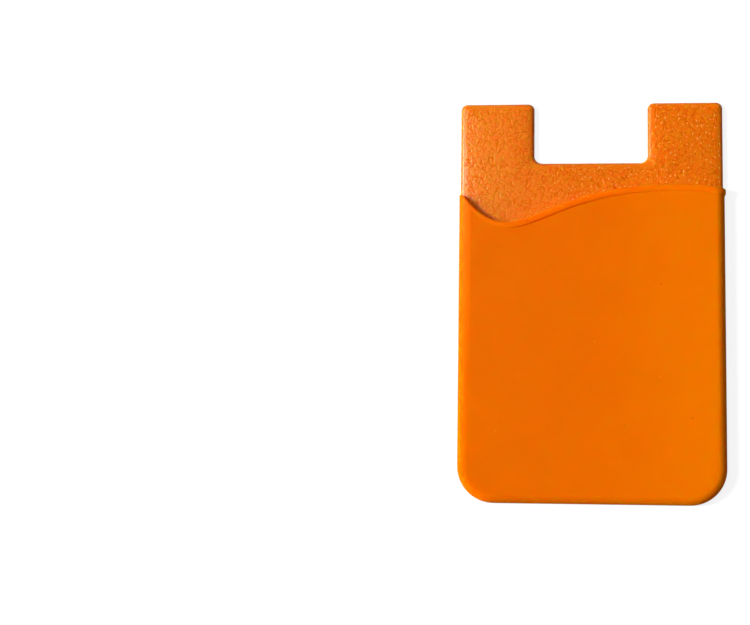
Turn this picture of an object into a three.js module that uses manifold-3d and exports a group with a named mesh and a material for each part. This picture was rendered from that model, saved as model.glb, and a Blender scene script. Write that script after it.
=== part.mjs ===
// A stick-on card holder for the back of a phone: a soft pocket for bank cards,
// moulded in one piece with its back panel, and the die-cut tape and release
// liner that it comes with. Millimetres: +X to the holder's right, +Y up the
// holder, +Z out of its front. It lies on its liner, with the origin under its
// middle.

import * as THREE from "three";
import { mergeVertices } from "three/addons/utils/BufferGeometryUtils.js";
import Module from "manifold-3d";

const wasm = await Module();
wasm.setup();

// The bank card, and the room that the pocket leaves round it.
const cardWidth = 53.98;
const cardPlay = 0.31;
const slotGap = 0.8;

// Walls of the moulding.
const sideWall = 1.2;
const bottomWall = 1.2;
const frontWall = 0.8;
const backPanel = 1.3;

// The holder's outline.
const holderHeight = 87;
const bottomCornerRadius = 7.8;
const pocketEdgeRadius = 1.6;

// The bare panel above the pocket: a little narrower, with a thumb notch.
const panelStep = 0.25;
const panelCornerRadius = 1.4;
const panelEdgeWidth = 0.9;
const panelEdgeHeight = 0.8;
const notchWidth = 24.5;
const notchDepth = 13.25;
const notchCornerRadius = 1.7;

// The pocket's mouth, a long S: each drop is measured down from the holder's
// top, and the dip and the crest from the nearer side of the holder.
const wallDrop = 20.5;
const dipDrop = 26.5;
const dipFromLeft = 10.65;
const crestDrop = 18.5;
const crestFromRight = 11.9;
const rightDrop = 19.2;

// How far each stretch of the mouth keeps its direction at its ends.
const wallEase = [2, 2.9];
const dipEase = [5.2, 6.1];
const crestEase = [19.9, 8.1];
const rightEase = [4, 0.5];

// The bead along the mouth.
const lipWidth = 1.4;
const lipHeight = 0.28;

// Tape and liner on the back.
const linerThickness = 0.1;
const tapeThickness = 0.15;
const tapeSideMargin = 3.5;
const tapeBottomMargin = 5;
const tapeNotchMargin = 2;
const tapeCornerRadius = 4;

// Fineness of curves, how far a cutting solid runs past what it cuts, and how
// far two solids that are joined reach into each other.
const curveSegments = 14;
const edgeSegments = 5;
const overrun = 3;
const joinDepth = 0.4;

// Heights and places that follow.
const backZ = linerThickness + tapeThickness;
const panelFrontZ = backZ + backPanel;
const slotFrontZ = panelFrontZ + slotGap;
const pocketFrontZ = slotFrontZ + frontWall;
const lipFrontZ = pocketFrontZ + lipHeight;
const slotWidth = cardWidth + 2 * cardPlay;
const holderWidth = slotWidth + 2 * sideWall;
const holderTop = holderHeight / 2;
const holderBottom = -holderHeight / 2;
const notchBottom = holderTop - notchDepth;

const silicone = new THREE.MeshStandardMaterial({ color: 0xec6c00, roughness: 0.55, metalness: 0 });
const tape = new THREE.MeshStandardMaterial({ color: 0xe4e2da, roughness: 0.35, metalness: 0 });
const linerPaper = new THREE.MeshStandardMaterial({ color: 0xf3f0e6, roughness: 0.5, metalness: 0 });

// Closed geometry to a solid that can be joined and cut, and back.
function toSolid(geometry) {
  const bare = geometry.clone();
  bare.deleteAttribute("normal");
  bare.deleteAttribute("uv");
  const merged = mergeVertices(bare, 1e-5);
  return new wasm.Manifold(
    new wasm.Mesh({
      numProp: 3,
      vertProperties: Float32Array.from(merged.attributes.position.array),
      triVerts: Uint32Array.from(merged.index.array),
    }),
  );
}

function toGeometry(solid) {
  const mesh = solid.getMesh();
  const geometry = new THREE.BufferGeometry();
  geometry.setAttribute("position", new THREE.BufferAttribute(Float32Array.from(mesh.vertProperties), 3));
  geometry.setIndex(new THREE.BufferAttribute(Uint32Array.from(mesh.triVerts), 1));
  geometry.computeVertexNormals();
  return geometry;
}

// A plate between two heights with square edges.
function plate(shape, lowZ, highZ) {
  const geometry = new THREE.ExtrudeGeometry(shape, {
    depth: highZ - lowZ,
    bevelEnabled: false,
    curveSegments,
  });
  return geometry.translate(0, 0, lowZ);
}

// A plate whose front edge is rounded. It reaches below the holder's back,
// where the moulding is cut off flat.
function roundedPlate(shape, highZ, edgeWidth, edgeHeight) {
  const startZ = backZ - overrun;
  const geometry = new THREE.ExtrudeGeometry(shape, {
    depth: highZ - edgeHeight - startZ,
    bevelThickness: edgeHeight,
    bevelSize: edgeWidth,
    bevelOffset: -edgeWidth,
    bevelSegments: edgeSegments,
    curveSegments,
  });
  return geometry.translate(0, 0, startZ);
}

// A rectangle about the Y axis with its own radius at the bottom and the top.
function roundedRectangle(width, bottom, top, bottomRadius, topRadius) {
  const side = width / 2;
  const shape = new THREE.Shape();
  shape.moveTo(-side + bottomRadius, bottom);
  shape.lineTo(side - bottomRadius, bottom);
  shape.absarc(side - bottomRadius, bottom + bottomRadius, bottomRadius, -Math.PI / 2, 0);
  shape.lineTo(side, top - topRadius);
  if (topRadius > 0) {
    shape.absarc(side - topRadius, top - topRadius, topRadius, 0, Math.PI / 2);
  }
  shape.lineTo(-side + topRadius, top);
  if (topRadius > 0) {
    shape.absarc(-side + topRadius, top - topRadius, topRadius, Math.PI / 2, Math.PI);
  }
  shape.lineTo(-side, bottom + bottomRadius);
  shape.absarc(-side + bottomRadius, bottom + bottomRadius, bottomRadius, Math.PI, 1.5 * Math.PI);
  return shape;
}

// The panel's outline: two tabs with the thumb notch between them.
function panelShape() {
  const side = holderWidth / 2 - panelStep;
  const bottom = holderBottom + panelStep;
  const bottomRadius = bottomCornerRadius - panelStep;
  const top = holderTop;
  const outer = panelCornerRadius;
  const inner = notchCornerRadius;
  const notchSide = notchWidth / 2;
  const shape = new THREE.Shape();
  shape.moveTo(-side + bottomRadius, bottom);
  shape.lineTo(side - bottomRadius, bottom);
  shape.absarc(side - bottomRadius, bottom + bottomRadius, bottomRadius, -Math.PI / 2, 0);
  shape.lineTo(side, top - outer);
  shape.absarc(side - outer, top - outer, outer, 0, Math.PI / 2);
  shape.lineTo(notchSide + outer, top);
  shape.absarc(notchSide + outer, top - outer, outer, Math.PI / 2, Math.PI);
  shape.lineTo(notchSide, notchBottom + inner);
  shape.absarc(notchSide - inner, notchBottom + inner, inner, 0, -Math.PI / 2, true);
  shape.lineTo(-notchSide + inner, notchBottom);
  shape.absarc(-notchSide + inner, notchBottom + inner, inner, -Math.PI / 2, -Math.PI, true);
  shape.lineTo(-notchSide, top - outer);
  shape.absarc(-notchSide - outer, top - outer, outer, 0, Math.PI / 2);
  shape.lineTo(-side + outer, top);
  shape.absarc(-side + outer, top - outer, outer, Math.PI / 2, Math.PI);
  shape.lineTo(-side, bottom + bottomRadius);
  shape.absarc(-side + bottomRadius, bottom + bottomRadius, bottomRadius, Math.PI, 1.5 * Math.PI);
  return shape;
}

// The mouth from left to right: flat over the side wall, down into the dip, up
// over the crest and a little down again to the right side.
function mouthLine() {
  const side = holderWidth / 2;
  const outside = side + overrun;
  const wall = new THREE.Vector2(-slotWidth / 2, holderTop - wallDrop);
  const dip = new THREE.Vector2(-side + dipFromLeft, holderTop - dipDrop);
  const crest = new THREE.Vector2(side - crestFromRight, holderTop - crestDrop);
  const right = new THREE.Vector2(side, holderTop - rightDrop);
  const line = new THREE.Path();
  line.moveTo(-outside, wall.y);
  line.lineTo(wall.x, wall.y);
  line.bezierCurveTo(wall.x + wallEase[0], wall.y - wallEase[1], dip.x - dipEase[0], dip.y, dip.x, dip.y);
  line.bezierCurveTo(dip.x + dipEase[1], dip.y, crest.x - crestEase[0], crest.y, crest.x, crest.y);
  line.bezierCurveTo(
    crest.x + crestEase[1],
    crest.y,
    right.x - rightEase[0],
    right.y + rightEase[1],
    right.x,
    right.y,
  );
  line.lineTo(outside, right.y);
  return line.getPoints(curveSegments);
}

// The same line moved down across its own direction by one distance.
function loweredLine(points, distance) {
  return points.map((point, i) => {
    const before = points[Math.max(i - 1, 0)];
    const after = points[Math.min(i + 1, points.length - 1)];
    const arriving = i > 0 ? point.clone().sub(before) : after.clone().sub(point);
    const leaving = i < points.length - 1 ? after.clone().sub(point) : arriving.clone();
    arriving.normalize();
    leaving.normalize();
    const along = arriving.clone().add(leaving).normalize();
    const reach = distance / along.dot(leaving);
    return new THREE.Vector2(point.x + along.y * reach, point.y - along.x * reach);
  });
}

// All that lies below a line, to well past the holder's bottom.
function below(points) {
  const first = points[0];
  const last = points[points.length - 1];
  const floor = holderBottom - overrun;
  return new THREE.Shape([new THREE.Vector2(first.x, floor), new THREE.Vector2(last.x, floor), ...points.toReversed()]);
}

// The block that the pocket is cut from, grown all round for the bead's skin.
function pocketBlock(growth) {
  const shape = roundedRectangle(
    holderWidth + 2 * growth,
    holderBottom - growth,
    holderTop,
    bottomCornerRadius + growth,
    0,
  );
  const radius = pocketEdgeRadius + growth;
  return toSolid(roundedPlate(shape, pocketFrontZ + growth, radius, radius));
}

// All that lies below a line, through the whole thickness.
function blockBelow(line) {
  return toSolid(plate(below(line), backZ - 2 * overrun, lipFrontZ + overrun));
}

// The slot's cut goes a little into the panel's thickness, and the panel that
// is joined in afterwards is its floor.
function cardSlot() {
  const shape = roundedRectangle(
    slotWidth,
    holderBottom + bottomWall,
    holderTop + overrun,
    bottomCornerRadius - sideWall,
    0,
  );
  return toSolid(plate(shape, panelFrontZ - joinDepth, slotFrontZ));
}

// All that lies behind the holder's flat back.
function behindBack() {
  const depth = 2 * overrun + pocketEdgeRadius;
  const block = new THREE.BoxGeometry(2 * holderWidth, 2 * holderHeight, depth);
  return toSolid(block.translate(0, 0, backZ - depth / 2));
}

// The whole moulding: pocket and lip, opened by the card slot, on the panel.
function pocketBody() {
  const mouth = mouthLine();
  const lip = pocketBlock(lipHeight).subtract(blockBelow(loweredLine(mouth, lipWidth)));
  const pocket = pocketBlock(0).add(lip).intersect(blockBelow(mouth)).subtract(cardSlot());
  const panel = toSolid(roundedPlate(panelShape(), panelFrontZ, panelEdgeWidth, panelEdgeHeight));
  return toGeometry(pocket.add(panel).subtract(behindBack()));
}

// One die-cut outline serves the tape and the liner under it.
function tapeLayer(lowZ, highZ) {
  const shape = roundedRectangle(
    holderWidth - 2 * tapeSideMargin,
    holderBottom + tapeBottomMargin,
    notchBottom - tapeNotchMargin,
    tapeCornerRadius,
    tapeCornerRadius,
  );
  return plate(shape, lowZ, highZ);
}

function namedMesh(name, geometry, material) {
  const mesh = new THREE.Mesh(geometry, material);
  mesh.name = name;
  return mesh;
}

const holder = new THREE.Group();
holder.name = "stick_on_card_holder";
holder.add(namedMesh("pocket_body", pocketBody(), silicone));
holder.add(namedMesh("adhesive_pad", tapeLayer(linerThickness, backZ), tape));
holder.add(namedMesh("release_liner", tapeLayer(0, linerThickness), linerPaper));

export default holder;
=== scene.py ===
"""A stick-on card holder for the back of a phone: one orange silicone moulding with a card
pocket, a bead along its wavy mouth and a grained panel, on its tape and release liner.

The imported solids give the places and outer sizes. The moulding is modelled again here with its
round edges, its rolled bead and its raised grain. Everything is in metres: +X to the holder's
right, +Y up the holder, +Z out of its front.
"""

import math

import bmesh
import bpy
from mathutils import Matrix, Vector, noise
from mathutils.geometry import interpolate_bezier


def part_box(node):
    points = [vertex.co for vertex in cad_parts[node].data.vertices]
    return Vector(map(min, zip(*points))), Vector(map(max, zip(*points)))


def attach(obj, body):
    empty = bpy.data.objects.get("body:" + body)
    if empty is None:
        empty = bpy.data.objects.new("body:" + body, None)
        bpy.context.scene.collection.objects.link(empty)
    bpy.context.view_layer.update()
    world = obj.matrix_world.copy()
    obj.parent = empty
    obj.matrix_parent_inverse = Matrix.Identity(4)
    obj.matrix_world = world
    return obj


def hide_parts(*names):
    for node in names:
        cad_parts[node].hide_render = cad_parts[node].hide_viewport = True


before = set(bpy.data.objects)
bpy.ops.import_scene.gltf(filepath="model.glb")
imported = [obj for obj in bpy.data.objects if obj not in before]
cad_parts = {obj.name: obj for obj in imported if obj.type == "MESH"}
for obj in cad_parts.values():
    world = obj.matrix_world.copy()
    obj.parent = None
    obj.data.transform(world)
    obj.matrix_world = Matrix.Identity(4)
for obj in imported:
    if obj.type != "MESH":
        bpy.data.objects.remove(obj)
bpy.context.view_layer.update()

MM = 0.001

# What the moulding's own solid says about it.
BODY_LOW, BODY_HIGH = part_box("pocket_body")
BEAD_PROUD = 0.28 * MM
SIDE = BODY_HIGH[0] - BEAD_PROUD
TOP = BODY_HIGH[1]
BOTTOM = BODY_LOW[1]
BACK = BODY_LOW[2]
FRONT = BODY_HIGH[2] - BEAD_PROUD

# Walls of the moulding.
SIDE_WALL = 1.2 * MM
BOTTOM_WALL = 1.2 * MM
FRONT_WALL = 0.8 * MM
SLOT_GAP = 0.8 * MM
SLOT_FRONT = FRONT - FRONT_WALL
PANEL_FRONT = SLOT_FRONT - SLOT_GAP

# Round edges and corners.
CORNER_RADIUS = 7.8 * MM
POCKET_EDGE = 1.9 * MM
PANEL_STEP = 0.25 * MM
PANEL_EDGE = 0.9 * MM
TAB_CORNER = 1.4 * MM
NOTCH_HALF = 12.25 * MM
NOTCH_BOTTOM = TOP - 13.25 * MM
NOTCH_CORNER = 1.7 * MM

# The mouth's upper edge, a long S from the left wall to the right one.
WALL_POINT = Vector((-SIDE + 0.7 * MM, TOP - 20.4 * MM, 0))
DIP_POINT = Vector((-SIDE + 10.65 * MM, TOP - 26.5 * MM, 0))
CREST_POINT = Vector((SIDE - 11.9 * MM, TOP - 18.5 * MM, 0))
RIGHT_POINT = Vector((SIDE, TOP - 19.2 * MM, 0))

# How the mouth leaves and reaches each of these points.
WALL_LEAVE = Vector((2.4, -2.95, 0)) * MM
DIP_ARRIVE = Vector((-4.9, 0, 0)) * MM
DIP_LEAVE = Vector((6.1, 0, 0)) * MM
CREST_ARRIVE = Vector((-19.9, 0, 0)) * MM
CREST_LEAVE = Vector((8.1, 0, 0)) * MM
RIGHT_ARRIVE = Vector((-4, 0.5, 0)) * MM

# The bead's section is a flat-crowned oval, half this wide and high. It is full on the long
# stretch, and slim and flush with the wall at the left tip.
BEAD_HALF_WIDTH = 0.76 * MM
BEAD_HALF_HEIGHT = 0.6 * MM
BEAD_SQUARENESS = 3.2
TIP_SHARE = 0.3
TIP_PROUD = 0.01 * MM

# The raised grain: where it ends below the mouth, squares of the mesh, sizes and height. It fades
# in from the edges and out of the slot between two places each.
GRAIN_START = TOP - 29 * MM
GRAIN_SQUARE = 0.15 * MM
PEBBLE_SIZE = 0.95 * MM
PEBBLE_SHARE = 0.65
WRINKLE_SIZE = 0.55 * MM
WRINKLE_SHARE = 0.35
CREASE_WIDTH = 0.2
CREASE_BEND = 0.3
CREASE_BENDS = 1.4
GRAIN_HEIGHT = 0.09 * MM
GRAIN_RIM_FADE = (PANEL_EDGE - 0.3 * MM, PANEL_EDGE + 0.6 * MM)
GRAIN_SLOT_FADE = (GRAIN_START + 0.3 * MM, GRAIN_START + 1.2 * MM)

# Without a seed of its own, the noise that bends the creases would differ from run to run.
GRAIN_SEED = 1

# The bare panel is a little lower towards its edges, over this reach, and level in the slot.
CROWN = 0.26 * MM
CROWN_REACH = 5 * MM
CROWN_FADE = (GRAIN_START + 0.5 * MM, GRAIN_START + 4 * MM)

# A ring of narrow faces round the pocket's flat front, which keeps its shading even.
FACE_INSET = 0.5 * MM

# How far a cutting piece runs past what it cuts, and a joined piece into the other.
SPARE = 3 * MM
JOIN = 0.4 * MM
SKIM = 0.02 * MM

# Within this, two points of the plan are the same place, and two heights the same height.
SAME_PLACE = MM / 100
SAME_HEIGHT = MM / 1000

# Faces that meet at less than this are shaded as one.
SMOOTH_ANGLE = math.radians(40)

# Points closer than this are merged.
BEAD_WELD = MM / 10000
MOULDING_WELD = MM / 100000

# How finely each curve is divided.
CORNER_STEPS = 28
SLOT_CORNER_STEPS = 20
TAB_CORNER_STEPS = 12
NOTCH_CORNER_STEPS = 14
POCKET_EDGE_STEPS = 10
PANEL_EDGE_STEPS = 8
END_SPAN_POINTS = 24
LONG_SPAN_POINTS = 60
SECTION_POINTS = 28
WRAP_STEPS = 8


def only(piece):
    """Leaves one object selected and active."""
    bpy.ops.object.select_all(action="DESELECT")
    piece.select_set(True)
    bpy.context.view_layer.objects.active = piece


def pick(piece, kind, test):
    """In edit mode, selects just the edges or faces that pass a test."""
    bpy.ops.mesh.select_all(action="DESELECT")
    bpy.ops.mesh.select_mode(type=kind)
    mesh = bmesh.from_edit_mesh(piece.data)
    for part in mesh.edges if kind == "EDGE" else mesh.faces:
        if test(part):
            part.select_set(True)
    bmesh.update_edit_mesh(piece.data)


def upright_at(x, y):
    """A test for the upright edge at a place in the plan."""

    def test(edge):
        return all(math.dist(v.co.xy, (x, y)) < SAME_PLACE for v in edge.verts)

    return test


def round_upright(piece, places, radius, segments):
    """Rounds the upright edges at some places of the plan."""
    for x, y in places:
        pick(piece, "EDGE", upright_at(x, y))
        bpy.ops.mesh.bevel(offset=radius, segments=segments, affect="EDGES", clamp_overlap=False)


def round_front(piece, height, radius, segments):
    """Rounds the rim of a plate's front face."""
    pick(piece, "EDGE", lambda edge: all(abs(v.co.z - height) < SAME_HEIGHT for v in edge.verts))
    bpy.ops.mesh.bevel(offset=radius, segments=segments, affect="EDGES", clamp_overlap=False)


def block(name, low, high):
    """A box between two corners, its place in its mesh, left in edit mode."""
    middle = [(a + b) / 2 for a, b in zip(low, high)]
    size = [b - a for a, b in zip(low, high)]
    bpy.ops.object.select_all(action="DESELECT")
    bpy.ops.mesh.primitive_cube_add(size=1, location=middle, scale=size)
    piece = bpy.context.object
    piece.name = name
    bpy.ops.object.transform_apply(location=True, rotation=True, scale=True)
    bpy.ops.object.mode_set(mode="EDIT")
    return piece


def work(target, tool, operation):
    """Joins a tool to a target or cuts it with the tool, and deletes the tool."""
    only(target)
    step = target.modifiers.new("work", "BOOLEAN")
    step.operation = operation
    step.object = tool
    step.solver = "MANIFOLD"
    bpy.ops.object.modifier_apply(modifier=step.name)
    bpy.data.objects.remove(tool, do_unlink=True)


def mouth_line():
    """Points of the mouth's upper edge from the left wall to the right side."""
    spans = [
        (WALL_POINT, WALL_LEAVE, DIP_ARRIVE, DIP_POINT, END_SPAN_POINTS),
        (DIP_POINT, DIP_LEAVE, CREST_ARRIVE, CREST_POINT, LONG_SPAN_POINTS),
        (CREST_POINT, CREST_LEAVE, RIGHT_ARRIVE, RIGHT_POINT, END_SPAN_POINTS),
    ]
    points = []
    for start, leave, arrive, end, count in spans:
        points += interpolate_bezier(start, start + leave, end + arrive, end, count)[:-1]
    points.append(RIGHT_POINT)
    return points


def bead_line():
    """The bead's middle line in the plan, with its share of the full size at each point: the
    mouth's edge moved in by the bead's half width, which grows from the tip to the dip."""
    edge = mouth_line()
    line = []
    for i, point in enumerate(edge):
        before = edge[max(i - 1, 0)]
        after = edge[min(i + 1, len(edge) - 1)]
        along = (after - before).normalized()
        way = min(max((point.x - WALL_POINT.x) / (DIP_POINT.x - WALL_POINT.x), 0), 1)
        share = TIP_SHARE + (1 - TIP_SHARE) * way
        inward = Vector((along.y, -along.x, 0))
        line.append((point + inward * BEAD_HALF_WIDTH * share, share))
    return line


def bead_depth(share):
    """How far the bead's middle lies behind the wall's face: it is all but flush at the tip."""
    way = max(share - TIP_SHARE, 0) / (1 - TIP_SHARE)
    return BEAD_HALF_HEIGHT * share - TIP_PROUD - (BEAD_PROUD - TIP_PROUD) * way


def on_wall(point, share):
    """The bead's middle at a point of its line: over the flat face, or lower on the round edge."""
    past = abs(point.x) - (SIDE - POCKET_EDGE)
    bend = POCKET_EDGE - bead_depth(share)
    if past <= 0:
        return Vector((point.x, point.y, FRONT - bead_depth(share)))
    rise = math.sqrt(max(bend * bend - past * past, 0))
    return Vector((point.x, point.y, FRONT - POCKET_EDGE + rise))


def wrap(point, share, side):
    """Points that lead the bead's middle on round the pocket's edge and down its side."""
    bend = POCKET_EDGE - bead_depth(share)
    past = min(abs(point.x) - (SIDE - POCKET_EDGE), bend)
    start = math.asin(past / bend)
    path = []
    for step in range(1, WRAP_STEPS + 1):
        angle = start + (math.pi / 2 - start) * step / WRAP_STEPS
        x = side * (SIDE - POCKET_EDGE + bend * math.sin(angle))
        path.append((Vector((x, point.y, FRONT - POCKET_EDGE + bend * math.cos(angle))), share))
    foot = Vector((path[-1][0].x + side * JOIN / 4, point.y, BACK - SPARE))
    path.append((foot, share))
    return path


def bead_section():
    """The bead's section as a closed flat curve: an oval with a flat crown."""
    data = bpy.data.curves.new("bead_section", "CURVE")
    data.dimensions = "2D"
    spline = data.splines.new("POLY")
    spline.points.add(SECTION_POINTS - 1)
    for i, knot in enumerate(spline.points):
        angle = 2 * math.pi * i / SECTION_POINTS
        c, s = math.cos(angle), math.sin(angle)
        x = math.copysign(abs(c) ** (2 / BEAD_SQUARENESS), c) * BEAD_HALF_WIDTH
        y = math.copysign(abs(s) ** (2 / BEAD_SQUARENESS), s) * BEAD_HALF_HEIGHT
        knot.co = (x, y, 0, 1)
    spline.use_cyclic_u = True
    section = bpy.data.objects.new("bead_section", data)
    bpy.context.scene.collection.objects.link(section)
    return section


def make_bead(line):
    """The rolled bead: its section led along the mouth and down both sides."""
    line = [(p, s) for p, s in line if p.x < SIDE - POCKET_EDGE]
    last = Vector((SIDE - POCKET_EDGE, RIGHT_POINT.y - BEAD_HALF_WIDTH, 0))
    line.append((last, 1))
    over = [(on_wall(p, s), s) for p, s in line]
    path = wrap(*line[0], -1)[::-1] + over + wrap(last, 1, 1)
    section = bead_section()
    data = bpy.data.curves.new("bead", "CURVE")
    data.dimensions = "3D"
    data.twist_mode = "Z_UP"
    data.bevel_mode = "OBJECT"
    data.bevel_object = section
    data.use_fill_caps = True
    spline = data.splines.new("POLY")
    spline.points.add(len(path) - 1)
    for knot, (place, share) in zip(spline.points, path):
        knot.co = (*place, 1)
        knot.radius = share
    bead = bpy.data.objects.new("bead", data)
    bpy.context.scene.collection.objects.link(bead)
    only(bead)
    bpy.ops.object.convert(target="MESH")
    bead = bpy.context.object
    bpy.data.objects.remove(section, do_unlink=True)
    bpy.ops.object.mode_set(mode="EDIT")
    bpy.ops.mesh.select_all(action="SELECT")
    bpy.ops.mesh.remove_doubles(threshold=BEAD_WELD)
    bpy.ops.mesh.normals_make_consistent(inside=False)
    bpy.ops.object.mode_set(mode="OBJECT")
    return bead


def above_mouth(line):
    """A cutter for all that lies beyond the bead's middle line."""
    points = [p for p, _ in line]
    outer_left = Vector((-SIDE - SPARE, points[0].y, 0))
    outer_right = Vector((SIDE + SPARE, points[-1].y, 0))
    rim = [outer_left, *points, outer_right]
    mesh = bpy.data.meshes.new("above_mouth")
    low = BACK - 2 * SPARE
    steps = [(i, i + 1) for i in range(len(rim) - 1)]
    mesh.from_pydata([(p.x, p.y, low) for p in rim], steps, [])
    cutter = bpy.data.objects.new("above_mouth", mesh)
    bpy.context.scene.collection.objects.link(cutter)
    only(cutter)
    bpy.ops.object.mode_set(mode="EDIT")
    bpy.ops.mesh.select_mode(type="VERT")
    bpy.ops.mesh.select_all(action="SELECT")
    bpy.ops.mesh.extrude_region_move(TRANSFORM_OT_translate={"value": (0, 2 * TOP, 0)})
    bpy.ops.mesh.select_all(action="SELECT")
    bpy.ops.mesh.extrude_region_move(TRANSFORM_OT_translate={"value": (0, 0, FRONT + SPARE - low)})
    bpy.ops.mesh.select_all(action="SELECT")
    bpy.ops.mesh.normals_make_consistent(inside=False)
    bpy.ops.object.mode_set(mode="OBJECT")
    return cutter


def shift(piece, name, shares, distance):
    """Moves points of a piece along Z, each by its own share of a distance."""
    group = piece.vertex_groups.new(name=name)
    for index, share in shares.items():
        group.add([index], share, "REPLACE")
    only(piece)
    step = piece.modifiers.new(name, "DISPLACE")
    step.direction = "Z"
    step.vertex_group = group.name
    step.mid_level = 0
    step.strength = distance
    bpy.ops.object.modifier_apply(modifier=step.name)


def make_pocket():
    """The card pocket: a round-edged block cut at the mouth, beaded and opened by the slot."""
    pocket = block("pocket", (-SIDE, BOTTOM, BACK - SPARE), (SIDE, TOP, FRONT))
    round_upright(pocket, [(-SIDE, BOTTOM), (SIDE, BOTTOM)], CORNER_RADIUS, CORNER_STEPS)
    round_front(pocket, FRONT, POCKET_EDGE, POCKET_EDGE_STEPS)
    pick(pocket, "FACE", lambda face: face.normal.z > 0.999)
    bpy.ops.mesh.inset(thickness=FACE_INSET)
    bpy.ops.object.mode_set(mode="OBJECT")

    line = bead_line()
    work(pocket, above_mouth(line), "DIFFERENCE")
    work(pocket, make_bead(line), "UNION")

    slot_side = SIDE - SIDE_WALL
    slot_bottom = BOTTOM + BOTTOM_WALL
    low = (-slot_side, slot_bottom, PANEL_FRONT - JOIN)
    high = (slot_side, TOP + SPARE, SLOT_FRONT)
    corners = [(-slot_side, slot_bottom), (slot_side, slot_bottom)]
    slot = block("slot", low, high)
    round_upright(slot, corners, CORNER_RADIUS - SIDE_WALL, SLOT_CORNER_STEPS)
    bpy.ops.object.mode_set(mode="OBJECT")
    work(pocket, slot, "DIFFERENCE")
    return pocket


def make_panel():
    """The back panel with its two tabs, its front in fine squares where it is grained."""
    side = SIDE - PANEL_STEP
    bottom = BOTTOM + PANEL_STEP
    panel = block("panel", (-side, bottom, BACK - SPARE), (side, NOTCH_BOTTOM, PANEL_FRONT + SKIM))
    for x in (-NOTCH_HALF, NOTCH_HALF):
        bpy.ops.mesh.select_all(action="SELECT")
        bpy.ops.mesh.bisect(plane_co=(x, 0, 0), plane_no=(1, 0, 0))

    def tab_root(face):
        return face.normal.y > 0.9 and abs(face.calc_center_median().x) > NOTCH_HALF

    pick(panel, "FACE", tab_root)
    bpy.ops.mesh.extrude_region_move(TRANSFORM_OT_translate={"value": (0, TOP - NOTCH_BOTTOM, 0)})
    bpy.ops.mesh.select_all(action="SELECT")
    bpy.ops.mesh.dissolve_limited(angle_limit=math.radians(1))
    lower = [(-side, bottom), (side, bottom)]
    tabs = [(x, TOP) for x in (-side, -NOTCH_HALF, NOTCH_HALF, side)]
    notch = [(-NOTCH_HALF, NOTCH_BOTTOM), (NOTCH_HALF, NOTCH_BOTTOM)]
    round_upright(panel, lower, CORNER_RADIUS - PANEL_STEP, CORNER_STEPS)
    round_upright(panel, tabs, TAB_CORNER, TAB_CORNER_STEPS)
    round_upright(panel, notch, NOTCH_CORNER, NOTCH_CORNER_STEPS)
    round_front(panel, PANEL_FRONT + SKIM, PANEL_EDGE, PANEL_EDGE_STEPS)
    bpy.ops.object.mode_set(mode="OBJECT")
    work(panel, make_squares(), "INTERSECT")
    shift(panel, "crown", {v.index: crown_share(v.co) for v in panel.data.vertices}, -CROWN)
    return panel


def make_squares():
    """A slab whose top is a grid of fine squares over the grained part of the panel."""
    width = 2 * (SIDE + SPARE)
    length = TOP + SPARE - GRAIN_START
    bpy.ops.object.select_all(action="DESELECT")
    bpy.ops.mesh.primitive_grid_add(
        x_subdivisions=round(width / GRAIN_SQUARE),
        y_subdivisions=round(length / GRAIN_SQUARE),
        size=1,
        location=(0, GRAIN_START + length / 2, PANEL_FRONT),
    )
    slab = bpy.context.object
    slab.scale = (width, length, 1)
    bpy.ops.object.transform_apply(location=True, rotation=True, scale=True)
    bpy.ops.object.mode_set(mode="EDIT")

    def lower_rim(edge):
        return all(abs(v.co.y - GRAIN_START) < SAME_HEIGHT for v in edge.verts)

    pick(slab, "EDGE", lower_rim)
    reach = GRAIN_START - BOTTOM + SPARE
    bpy.ops.mesh.extrude_region_move(TRANSFORM_OT_translate={"value": (0, -reach, 0)})
    bpy.ops.mesh.select_all(action="SELECT")
    bpy.ops.mesh.extrude_region_move(TRANSFORM_OT_translate={"value": (0, 0, -PANEL_FRONT - 3 * SPARE)})
    bpy.ops.mesh.select_all(action="SELECT")
    bpy.ops.mesh.normals_make_consistent(inside=False)
    bpy.ops.object.mode_set(mode="OBJECT")
    return slab


def make_moulding():
    """Pocket and panel as one piece, cut off flat at the back."""
    moulding = make_pocket()
    work(moulding, make_panel(), "UNION")
    behind = block("behind", (-2 * SIDE, -2 * TOP, BACK - 4 * SPARE), (2 * SIDE, 2 * TOP, BACK))
    bpy.ops.object.mode_set(mode="OBJECT")
    work(moulding, behind, "DIFFERENCE")
    moulding.name = "silicone_pocket"
    only(moulding)
    bpy.ops.object.mode_set(mode="EDIT")
    bpy.ops.mesh.select_all(action="SELECT")
    bpy.ops.mesh.remove_doubles(threshold=MOULDING_WELD)
    bpy.ops.object.mode_set(mode="OBJECT")
    return moulding


def smooth_step(value, low, high):
    """0 below low, 1 above high and smooth between."""
    share = min(max((value - low) / (high - low), 0), 1)
    return share * share * (3 - 2 * share)


def to_edge(place):
    """How far a point of the panel is from the panel's outline, notch included."""
    across = abs(place.x) - NOTCH_HALF
    below = NOTCH_BOTTOM - place.y
    from_notch = math.hypot(across, below) if across > 0 and below > 0 else max(across, below)
    return min(SIDE - PANEL_STEP - abs(place.x), TOP - place.y, from_notch)


def crown_share(place):
    """How much the bare panel is lowered at a point: most at its edges, and not in the slot."""
    away = min(max(to_edge(place) / CROWN_REACH, 0), 1)
    fade = smooth_step(place.y, *CROWN_FADE)
    return (1 - away) ** 2 * fade


def grain_share(place):
    """How much of the grain's height a point of the panel's front takes: all of it away from the
    edges, and none on the round edges or deep in the slot."""
    rim = smooth_step(to_edge(place), *GRAIN_RIM_FADE)
    return rim * smooth_step(place.y, *GRAIN_SLOT_FADE)


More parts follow.
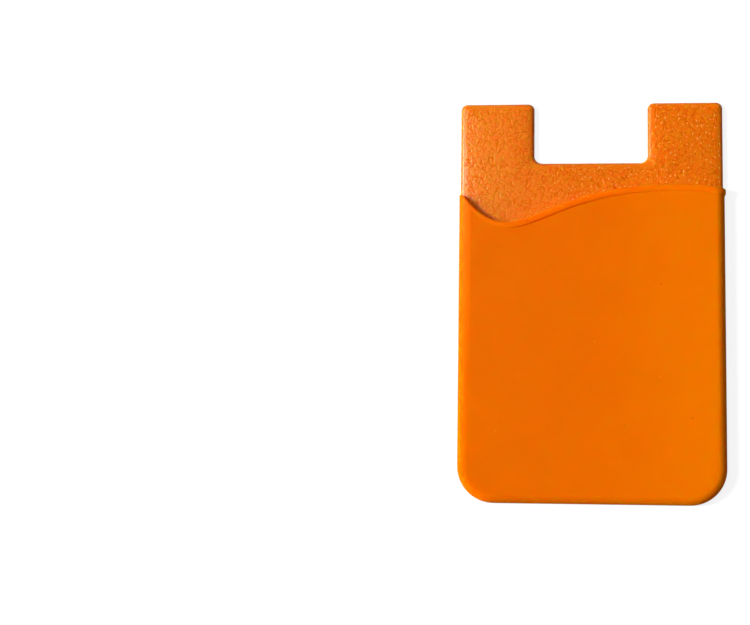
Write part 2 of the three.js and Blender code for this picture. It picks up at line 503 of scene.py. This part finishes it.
def on_panel(place):
    """Whether a point of the moulding lies on the panel's bare front."""
    low = PANEL_FRONT - CROWN - SAME_HEIGHT
    return low < place.z < PANEL_FRONT + SAME_HEIGHT and place.y > GRAIN_START


def cells(place, size):
    """Flat cells with narrow crooked creases between them: 1 on a cell, 0 in a crease."""
    spot = Vector((place.x, place.y, 0)) / size
    bend = noise.noise_vector(spot * CREASE_BENDS) * CREASE_BEND
    near = noise.voronoi(spot + Vector((bend.x, bend.y, 0)))[0]
    return smooth_step(near[1] - near[0], 0, CREASE_WIDTH)


def raise_grain(moulding):
    """Raises the panel's leather grain in the mesh: pebbles, and finer wrinkles over them. How
    deep in a crease each point lies is kept for the material, as "crease"."""

    def height(place):
        return PEBBLE_SHARE * cells(place, PEBBLE_SIZE) + WRINKLE_SHARE * cells(place, WRINKLE_SIZE)

    noise.seed_set(GRAIN_SEED)
    spots = {v.index: v.co.copy() for v in moulding.data.vertices if on_panel(v.co)}
    heights = {i: height(place) for i, place in spots.items()}
    shares = {i: grain_share(place) for i, place in spots.items()}
    shift(moulding, "grain", {i: shares[i] * heights[i] for i in spots}, GRAIN_HEIGHT)
    crease = moulding.data.attributes.new("crease", "FLOAT", "POINT")
    for i in spots:
        crease.data[i].value = shares[i] * (1 - heights[i])


def finish_shading(moulding):
    """Smooth round edges and crisp creases."""
    only(moulding)
    bpy.ops.object.shade_smooth_by_angle(angle=SMOOTH_ANGLE)


def dress(moulding):
    """Gives the panel's bare front the grained silicone and all the rest the smooth one."""
    tone, skin, specks = tone_and_painted_light(), matte_skin(), dust()
    moulding.data.materials.clear()
    moulding.data.materials.append(smooth_silicone(tone, skin, specks))
    moulding.data.materials.append(grained_silicone(tone, skin))
    low = PANEL_FRONT - CROWN - PANEL_EDGE
    for face in moulding.data.polygons:
        x, y, z = face.center
        bare = y > GRAIN_START and low < z < PANEL_FRONT + 0.4 * MM and abs(x) < SIDE - 0.1 * MM
        face.material_index = 1 if bare and face.normal.z > 0.02 else 0


def wire(tree, source, target, node_out=0, node_in=0):
    """Links an output of one node to an input of another."""
    tree.links.new(source.outputs[node_out], target.inputs[node_in])


def node(tree, kind, **settings):
    """Adds a node and sets its options and its inputs: an input is named with _ for a space."""
    made = tree.nodes.new(kind)
    for name, value in settings.items():
        if hasattr(made, name):
            setattr(made, name, value)
        else:
            made.inputs[name.replace("_", " ")].default_value = value
    return made


def new_group(name, inputs, outputs):
    """A shader node group with named sockets. Returns its tree, its input and its output node."""
    tree = bpy.data.node_groups.new(name, "ShaderNodeTree")
    for label, kind in inputs:
        tree.interface.new_socket(label, in_out="INPUT", socket_type=kind)
    for label, kind in outputs:
        tree.interface.new_socket(label, in_out="OUTPUT", socket_type=kind)
    return tree, tree.nodes.new("NodeGroupInput"), tree.nodes.new("NodeGroupOutput")


def tone_and_painted_light():
    """Slow changes of tone through the moulding: clouds of slightly deeper colour, and a brighter
    and yellower tone that comes in across it. On the grained panel that brighter tone is painted
    light, standing in for more light falling on its left; on the pocket it is brighter towards the
    right."""
    tree, given, result = new_group(
        "tone_and_painted_light",
        [
            ("Color", "NodeSocketColor"),
            ("Bright", "NodeSocketColor"),
            ("Bright From", "NodeSocketFloat"),
            ("Bright To", "NodeSocketFloat"),
            ("Clouds", "NodeSocketFloat"),
        ],
        [("Color", "NodeSocketColor")],
    )
    place = node(tree, "ShaderNodeTexCoord")
    split = node(tree, "ShaderNodeSeparateXYZ")
    wire(tree, place, split, "Object", 0)
    side = node(tree, "ShaderNodeMapRange", interpolation_type="SMOOTHSTEP")
    wire(tree, split, side, "X", "Value")
    wire(tree, given, side, "Bright From", "From Min")
    wire(tree, given, side, "Bright To", "From Max")
    # The Bright colour comes in across the part: on the grained panel it is painted light.
    brighter = node(tree, "ShaderNodeMix", data_type="RGBA")
    wire(tree, side, brighter, 0, "Factor")
    wire(tree, given, brighter, "Color", "A")
    wire(tree, given, brighter, "Bright", "B")
    clouds = node(tree, "ShaderNodeTexNoise", Scale=1 / (9 * MM), Detail=3, Roughness=0.55)
    wire(tree, place, clouds, "Object", "Vector")
    centred = node(tree, "ShaderNodeMath", operation="SUBTRACT")
    centred.inputs[1].default_value = 0.5
    wire(tree, clouds, centred, 0, 0)
    amount = node(tree, "ShaderNodeMath", operation="MULTIPLY_ADD")
    amount.inputs[2].default_value = 1
    wire(tree, centred, amount, 0, 0)
    wire(tree, given, amount, "Clouds", 1)
    toned = node(tree, "ShaderNodeHueSaturation")
    wire(tree, amount, toned, 0, "Value")
    wire(tree, brighter, toned, "Result", "Color")
    wire(tree, toned, result)
    return tree


def matte_skin():
    """The very fine texture that a blasted mould leaves: height, and roughness that follows it."""
    tree, given, result = new_group(
        "matte_skin",
        [("Size", "NodeSocketFloat"), ("Roughness", "NodeSocketFloat")],
        [("Height", "NodeSocketFloat"), ("Roughness", "NodeSocketFloat")],
    )
    place = node(tree, "ShaderNodeTexCoord")
    scale = node(tree, "ShaderNodeMath", operation="DIVIDE")
    scale.inputs[0].default_value = 1
    wire(tree, given, scale, "Size", 1)
    pores = node(tree, "ShaderNodeTexNoise", Detail=2, Roughness=0.6)
    wire(tree, place, pores, "Object", "Vector")
    wire(tree, scale, pores, 0, "Scale")
    wire(tree, pores, result, 0, "Height")
    patches = node(tree, "ShaderNodeTexNoise", Scale=1 / (6 * MM), Detail=2)
    wire(tree, place, patches, "Object", "Vector")
    spread = node(tree, "ShaderNodeMapRange")
    spread.inputs["To Min"].default_value = -0.06
    spread.inputs["To Max"].default_value = 0.06
    wire(tree, patches, spread, 0, "Value")
    total = node(tree, "ShaderNodeMath", operation="ADD")
    wire(tree, given, total, "Roughness", 0)
    wire(tree, spread, total, 0, 1)
    wire(tree, total, result, 0, "Roughness")
    return tree


def dust():
    """Lays a few tiny specks of lint and dirt over a colour."""
    tree, given, result = new_group(
        "dust",
        [
            ("Color", "NodeSocketColor"),
            ("Spacing", "NodeSocketFloat"),
            ("Speck Size", "NodeSocketFloat"),
        ],
        [("Color", "NodeSocketColor")],
    )
    place = node(tree, "ShaderNodeTexCoord")
    scale = node(tree, "ShaderNodeMath", operation="DIVIDE")
    scale.inputs[0].default_value = 1
    wire(tree, given, scale, "Spacing", 1)
    dots = node(tree, "ShaderNodeTexVoronoi", voronoi_dimensions="2D")
    wire(tree, place, dots, "Object", "Vector")
    wire(tree, scale, dots, 0, "Scale")
    size = node(tree, "ShaderNodeMath", operation="MULTIPLY")
    wire(tree, given, size, "Speck Size", 0)
    wire(tree, scale, size, 0, 1)
    inside = node(tree, "ShaderNodeMath", operation="LESS_THAN")
    wire(tree, dots, inside, "Distance", 0)
    wire(tree, size, inside, 0, 1)
    chance = node(tree, "ShaderNodeSeparateColor")
    wire(tree, dots, chance, "Color", 0)
    rare = node(tree, "ShaderNodeMath", operation="LESS_THAN")
    rare.inputs[1].default_value = 0.14
    wire(tree, chance, rare, "Red", 0)
    mask = node(tree, "ShaderNodeMath", operation="MULTIPLY")
    wire(tree, inside, mask, 0, 0)
    wire(tree, rare, mask, 0, 1)
    light = node(tree, "ShaderNodeMath", operation="GREATER_THAN")
    light.inputs[1].default_value = 0.5
    wire(tree, chance, light, "Green", 0)
    tint = node(tree, "ShaderNodeMix", data_type="RGBA")
    tint.inputs["A"].default_value = (0.32, 0.07, 0.01, 1)
    tint.inputs["B"].default_value = (1.0, 0.34, 0.07, 1)
    wire(tree, light, tint, 0, "Factor")
    specked = node(tree, "ShaderNodeMix", data_type="RGBA")
    wire(tree, mask, specked, 0, "Factor")
    wire(tree, given, specked, "Color", "A")
    wire(tree, tint, specked, "Result", "B")
    wire(tree, specked, result, "Result", 0)
    return tree


def placed(tree, group, **values):
    """Places a node group in a material with its own values."""
    made = tree.nodes.new("ShaderNodeGroup")
    made.node_tree = group
    for name, value in values.items():
        made.inputs[name.replace("_", " ")].default_value = value
    return made


def new_material(name):
    """A material with nodes. Returns it, its tree and its surface shader."""
    material = bpy.data.materials.new(name)
    material.use_nodes = True
    tree = material.node_tree
    return material, tree, tree.nodes["Principled BSDF"]


def set_silicone(surface, specular):
    """What both silicone finishes share: light that sinks in, reddest furthest in."""
    surface.inputs["IOR"].default_value = 1.41
    surface.inputs["Specular IOR Level"].default_value = specular
    surface.inputs["Subsurface Weight"].default_value = 1.0
    surface.inputs["Subsurface Radius"].default_value = (1.0, 0.1, 0.03)
    surface.inputs["Subsurface Scale"].default_value = 1.7 * MM


def smooth_silicone(tone, skin, specks):
    """The pocket's matte orange silicone."""
    material, tree, surface = new_material("smooth_silicone")
    set_silicone(surface, 0.03)
    colour = placed(
        tree,
        tone,
        Color=(0.825, 0.158, 0.0, 1),
        Bright=(0.905, 0.19, 0.0, 1),
        Bright_From=-2 * MM,
        Bright_To=27 * MM,
        Clouds=0.12,
    )
    dotted = placed(tree, specks, Spacing=7 * MM, Speck_Size=0.11 * MM)
    wire(tree, colour, dotted, "Color", "Color")
    wire(tree, dotted, surface, "Color", "Base Color")
    feel = placed(tree, skin, Size=0.16 * MM, Roughness=0.5)
    wire(tree, feel, surface, "Roughness", "Roughness")
    bump = node(tree, "ShaderNodeBump", Strength=0.25, Distance=0.02 * MM)
    wire(tree, feel, bump, "Height", "Height")
    wire(tree, bump, surface, "Normal", "Normal")
    return material


def grained_silicone(tone, skin):
    """The panel's silicone: a broad sheen on the pebbles, painted shade that deepens the colour in
    the creases, painted light that brightens its left, and small painted glints on the pebbles'
    tops, whitish orange specks of colour that stand mostly to the right."""
    material, tree, surface = new_material("grained_silicone")
    set_silicone(surface, 0.6)
    # Painted light: the panel's left, where more light falls, takes the brighter and yellower colour.
    colour = placed(
        tree,
        tone,
        Color=(0.79, 0.178, 0.0, 1),
        Bright=(0.86, 0.225, 0.002, 1),
        Bright_From=-6 * MM,
        Bright_To=-26 * MM,
        Clouds=0.16,
    )
    # Painted shade: the colour is made deeper where a point lies deep in a crease.
    depth = node(tree, "ShaderNodeAttribute", attribute_name="crease")
    deep = node(tree, "ShaderNodeMapRange", interpolation_type="SMOOTHSTEP")
    deep.inputs["From Min"].default_value = 0.15
    deep.inputs["From Max"].default_value = 0.9
    wire(tree, depth, deep, "Fac", "Value")
    painted_crease_shade = node(tree, "ShaderNodeMix", data_type="RGBA", blend_type="MULTIPLY")
    painted_crease_shade.inputs["B"].default_value = (0.88, 0.77, 0.35, 1)
    wire(tree, deep, painted_crease_shade, 0, "Factor")
    wire(tree, colour, painted_crease_shade, "Color", "A")
    feel = placed(tree, skin, Size=0.12 * MM, Roughness=0.42)
    # Painted glints: whitish orange specks of colour, stronger to the right, stand in for highlights on
    # the pebbles' tops; the same spots are bumped up as small domes.
    place = node(tree, "ShaderNodeTexCoord")
    tall = node(tree, "ShaderNodeMapping")
    tall.inputs["Scale"].default_value = (1, 0.62, 1)
    wire(tree, place, tall, "Object", "Vector")
    spots = node(tree, "ShaderNodeTexVoronoi", voronoi_dimensions="2D", Scale=1 / (0.95 * MM))
    wire(tree, tall, spots, 0, "Vector")
    sizes = node(tree, "ShaderNodeSeparateColor")
    wire(tree, spots, sizes, "Color", 0)
    reach = node(tree, "ShaderNodeMapRange")
    reach.inputs["To Min"].default_value = 0.07
    reach.inputs["To Max"].default_value = 0.24
    wire(tree, sizes, reach, "Red", "Value")
    glint_spots = node(tree, "ShaderNodeMapRange", interpolation_type="SMOOTHSTEP")
    glint_spots.inputs["From Max"].default_value = 0
    wire(tree, spots, glint_spots, "Distance", "Value")
    wire(tree, reach, glint_spots, 0, "From Min")
    axes = node(tree, "ShaderNodeSeparateXYZ")
    wire(tree, place, axes, "Object", 0)
    side = node(tree, "ShaderNodeMapRange", interpolation_type="SMOOTHSTEP")
    side.inputs["From Min"].default_value = -20 * MM
    side.inputs["From Max"].default_value = 2 * MM
    side.inputs["To Min"].default_value = 0.25
    wire(tree, axes, side, "X", "Value")
    amount = node(tree, "ShaderNodeMath", operation="MULTIPLY")
    wire(tree, glint_spots, amount, 0, 0)
    wire(tree, side, amount, 0, 1)
    painted_glints = node(tree, "ShaderNodeMix", data_type="RGBA")
    painted_glints.inputs["B"].default_value = (1.0, 0.46, 0.13, 1)
    wire(tree, amount, painted_glints, 0, "Factor")
    wire(tree, painted_crease_shade, painted_glints, "Result", "A")
    wire(tree, painted_glints, surface, "Result", "Base Color")
    dull = node(tree, "ShaderNodeMath", operation="MULTIPLY_ADD")
    dull.inputs[1].default_value = -0.2
    wire(tree, deep, dull, 0, 0)
    wire(tree, feel, dull, "Roughness", 2)
    wire(tree, dull, surface, 0, "Roughness")
    domes = node(tree, "ShaderNodeBump", Strength=0.6, Distance=0.03 * MM)
    wire(tree, glint_spots, domes, 0, "Height")
    bump = node(tree, "ShaderNodeBump", Strength=0.3, Distance=0.03 * MM)
    wire(tree, feel, bump, "Height", "Height")
    wire(tree, domes, bump, "Normal", "Normal")
    wire(tree, bump, surface, "Normal", "Normal")
    return material


def tape_film():
    """Clear double-sided adhesive film, which looks off-white with a faint cloudiness."""
    material, tree, surface = new_material("adhesive_film")
    place = node(tree, "ShaderNodeTexCoord")
    haze = node(tree, "ShaderNodeTexNoise", Scale=1 / (2.5 * MM), Detail=4, Roughness=0.6)
    wire(tree, place, haze, "Object", "Vector")
    tint = node(tree, "ShaderNodeMix", data_type="RGBA")
    tint.inputs["A"].default_value = (0.66, 0.64, 0.57, 1)
    tint.inputs["B"].default_value = (0.82, 0.81, 0.76, 1)
    wire(tree, haze, tint, 0, "Factor")
    wire(tree, tint, surface, "Result", "Base Color")
    gloss = node(tree, "ShaderNodeMapRange")
    gloss.inputs["To Min"].default_value = 0.22
    gloss.inputs["To Max"].default_value = 0.4
    wire(tree, haze, gloss, 0, "Value")
    wire(tree, gloss, surface, 0, "Roughness")
    bump = node(tree, "ShaderNodeBump", Strength=0.2, Distance=0.02 * MM)
    wire(tree, haze, bump, 0, "Height")
    wire(tree, bump, surface, "Normal", "Normal")
    surface.inputs["Subsurface Weight"].default_value = 0.3
    surface.inputs["Subsurface Radius"].default_value = (1.0, 0.9, 0.7)
    surface.inputs["Subsurface Scale"].default_value = 0.3 * MM
    return material


def liner_paper():
    """Coated release paper: satin off-white with fine fibres, and a kiss-cut line across it by
    which it is peeled."""
    material, tree, surface = new_material("liner_paper")
    place = node(tree, "ShaderNodeTexCoord")
    stretch = node(tree, "ShaderNodeMapping")
    stretch.inputs["Scale"].default_value = (1, 0.3, 1)
    wire(tree, place, stretch, "Object", "Vector")
    fibres = node(tree, "ShaderNodeTexNoise", Scale=1 / (0.35 * MM), Detail=5, Roughness=0.65)
    wire(tree, stretch, fibres, 0, "Vector")
    mottle = node(tree, "ShaderNodeTexNoise", Scale=1 / (5 * MM), Detail=2)
    wire(tree, place, mottle, "Object", "Vector")
    tint = node(tree, "ShaderNodeMix", data_type="RGBA")
    tint.inputs["A"].default_value = (0.76, 0.735, 0.66, 1)
    tint.inputs["B"].default_value = (0.86, 0.84, 0.78, 1)
    both = node(tree, "ShaderNodeMath", operation="MULTIPLY")
    wire(tree, fibres, both, 0, 0)
    wire(tree, mottle, both, 0, 1)
    spread = node(tree, "ShaderNodeMapRange")
    spread.inputs["From Min"].default_value = 0.1
    spread.inputs["From Max"].default_value = 0.4
    wire(tree, both, spread, 0, "Value")
    wire(tree, spread, tint, 0, "Factor")

    axes = node(tree, "ShaderNodeSeparateXYZ")
    wire(tree, place, axes, "Object", 0)
    wave = node(tree, "ShaderNodeMath", operation="SINE")
    turns = node(tree, "ShaderNodeMath", operation="MULTIPLY")
    turns.inputs[1].default_value = 2 * math.pi / (30 * MM)
    wire(tree, axes, turns, "X", 0)
    wire(tree, turns, wave, 0, 0)
    swing = node(tree, "ShaderNodeMath", operation="MULTIPLY")
    swing.inputs[1].default_value = 2.2 * MM
    wire(tree, wave, swing, 0, 0)
    off_line = node(tree, "ShaderNodeMath", operation="SUBTRACT")
    wire(tree, axes, off_line, "Y", 0)
    wire(tree, swing, off_line, 0, 1)
    near = node(tree, "ShaderNodeMath", operation="ABSOLUTE")
    wire(tree, off_line, near, 0, 0)
    slit = node(tree, "ShaderNodeMapRange", interpolation_type="SMOOTHSTEP")
    slit.inputs["From Min"].default_value = 0.04 * MM
    slit.inputs["From Max"].default_value = 0.16 * MM
    wire(tree, near, slit, 0, "Value")
    cut = node(tree, "ShaderNodeMix", data_type="RGBA")
    cut.inputs["A"].default_value = (0.5, 0.46, 0.38, 1)
    wire(tree, slit, cut, 0, "Factor")
    wire(tree, tint, cut, "Result", "B")
    wire(tree, cut, surface, "Result", "Base Color")

    gloss = node(tree, "ShaderNodeMapRange")
    gloss.inputs["To Min"].default_value = 0.38
    gloss.inputs["To Max"].default_value = 0.55
    wire(tree, fibres, gloss, 0, "Value")
    wire(tree, gloss, surface, 0, "Roughness")
    paper = node(tree, "ShaderNodeBump", Strength=0.25, Distance=0.02 * MM)
    wire(tree, fibres, paper, 0, "Height")
    groove = node(tree, "ShaderNodeBump", Strength=0.8, Distance=0.05 * MM)
    wire(tree, slit, groove, 0, "Height")
    wire(tree, paper, groove, "Normal", "Normal")
    wire(tree, groove, surface, "Normal", "Normal")
    return material


def make_floor():
    """A wide pale floor. What the camera sees of it is white with the holder's soft shadow. From
    below it is see-through, so that the holder's back can be looked at."""
    bpy.ops.object.select_all(action="DESELECT")
    bpy.ops.mesh.primitive_plane_add(size=60, location=(0, 0, 0))
    floor = bpy.context.object
    floor.name = "floor"
    material = bpy.data.materials.new("white_floor")
    material.use_nodes = True
    tree = material.node_tree
    tree.nodes.clear()
    output = node(tree, "ShaderNodeOutputMaterial")
    paint = node(tree, "ShaderNodeBsdfDiffuse", Color=(0.4, 0.4, 0.4, 1))
    seen_paint = node(tree, "ShaderNodeBsdfDiffuse", Color=(0.2, 0.2, 0.2, 1))
    lift = node(tree, "ShaderNodeEmission", Strength=0.84)
    seen = node(tree, "ShaderNodeAddShader")
    wire(tree, seen_paint, seen, 0, 0)
    wire(tree, lift, seen, 0, 1)
    path = node(tree, "ShaderNodeLightPath")
    by_eye = node(tree, "ShaderNodeMixShader")
    wire(tree, path, by_eye, "Is Camera Ray", 0)
    wire(tree, paint, by_eye, 0, 1)
    wire(tree, seen, by_eye, 0, 2)
    side = node(tree, "ShaderNodeNewGeometry")
    clear = node(tree, "ShaderNodeBsdfTransparent")
    by_side = node(tree, "ShaderNodeMixShader")
    wire(tree, side, by_side, "Backfacing", 0)
    wire(tree, by_eye, by_side, 0, 1)
    wire(tree, clear, by_side, 0, 2)
    wire(tree, by_side, output, 0, "Surface")
    floor.data.materials.append(material)


def add_sun(name, azimuth, elevation, strength, softness):
    """A soft lamp that makes no highlight and shines from a direction: azimuth 0 is +X and 90 is
    +Y, in degrees."""
    lamp = bpy.data.lights.new(name, "SUN")
    lamp.energy = strength * math.pi
    lamp.angle = math.radians(softness)
    holder = bpy.data.objects.new(name, lamp)
    bpy.context.scene.collection.objects.link(holder)
    a, e = math.radians(azimuth), math.radians(elevation)
    towards = Vector((math.cos(e) * math.cos(a), math.cos(e) * math.sin(a), math.sin(e)))
    holder.rotation_euler = towards.to_track_quat("Z", "Y").to_euler()
    holder.location = towards * 0.5
    holder.visible_glossy = False


def light_scene():
    """Soft light from the left, a low rim light, broad light from above, a small lamp that only
    makes highlights, and a dim even surround."""
    add_sun("key", azimuth=175, elevation=39, strength=1.07, softness=11)
    add_sun("rim", azimuth=180, elevation=12, strength=0.66, softness=16)
    add_sun("top", azimuth=150, elevation=74, strength=0.29, softness=50)
    sheen = bpy.data.lights.new("sheen", "AREA")
    sheen.shape = "DISK"
    sheen.size = 20 * MM
    sheen.energy = 0.105
    lamp = bpy.data.objects.new("sheen", sheen)
    bpy.context.scene.collection.objects.link(lamp)
    lamp.visible_diffuse = False
    lamp.location = Vector((-75, 36, 46)) * MM
    aim = lamp.location - Vector((-20, 30, 0)) * MM
    lamp.rotation_euler = aim.to_track_quat("Z", "Y").to_euler()
    world = bpy.data.worlds.new("surround")
    world.use_nodes = True
    tree = world.node_tree
    tree.nodes.clear()
    output = node(tree, "ShaderNodeOutputWorld")
    dim = node(tree, "ShaderNodeBackground", Strength=0.05)
    white = node(tree, "ShaderNodeBackground", Color=(1, 1, 1, 1), Strength=1)
    path = node(tree, "ShaderNodeLightPath")
    mix = node(tree, "ShaderNodeMixShader")
    wire(tree, path, mix, "Is Camera Ray", 0)
    wire(tree, dim, mix, 0, 1)
    wire(tree, white, mix, 0, 2)
    wire(tree, mix, output, 0, "Surface")
    bpy.context.scene.world = world


def add_camera():
    """Looks down on the holder as the photograph does, a little from its right and from below."""
    lens = bpy.data.cameras.new("camera")
    lens.sensor_width = 36
    lens.lens = 80.472
    lens.clip_end = 100
    camera = bpy.data.objects.new("camera", lens)
    bpy.context.scene.collection.objects.link(camera)
    camera.location = Vector((-9.163, -46.515, 361.726)) * MM
    camera.rotation_euler = (0.12197569, 0.10182458, 0.01523092)
    bpy.context.scene.camera = camera


add_camera()
make_floor()
light_scene()

moulding = make_moulding()
raise_grain(moulding)
finish_shading(moulding)
dress(moulding)
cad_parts["adhesive_pad"].material_slots[0].material = tape_film()
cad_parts["release_liner"].material_slots[0].material = liner_paper()
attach(moulding, "root")
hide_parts("pocket_body")

bpy.context.scene.view_settings.view_transform = "Standard"
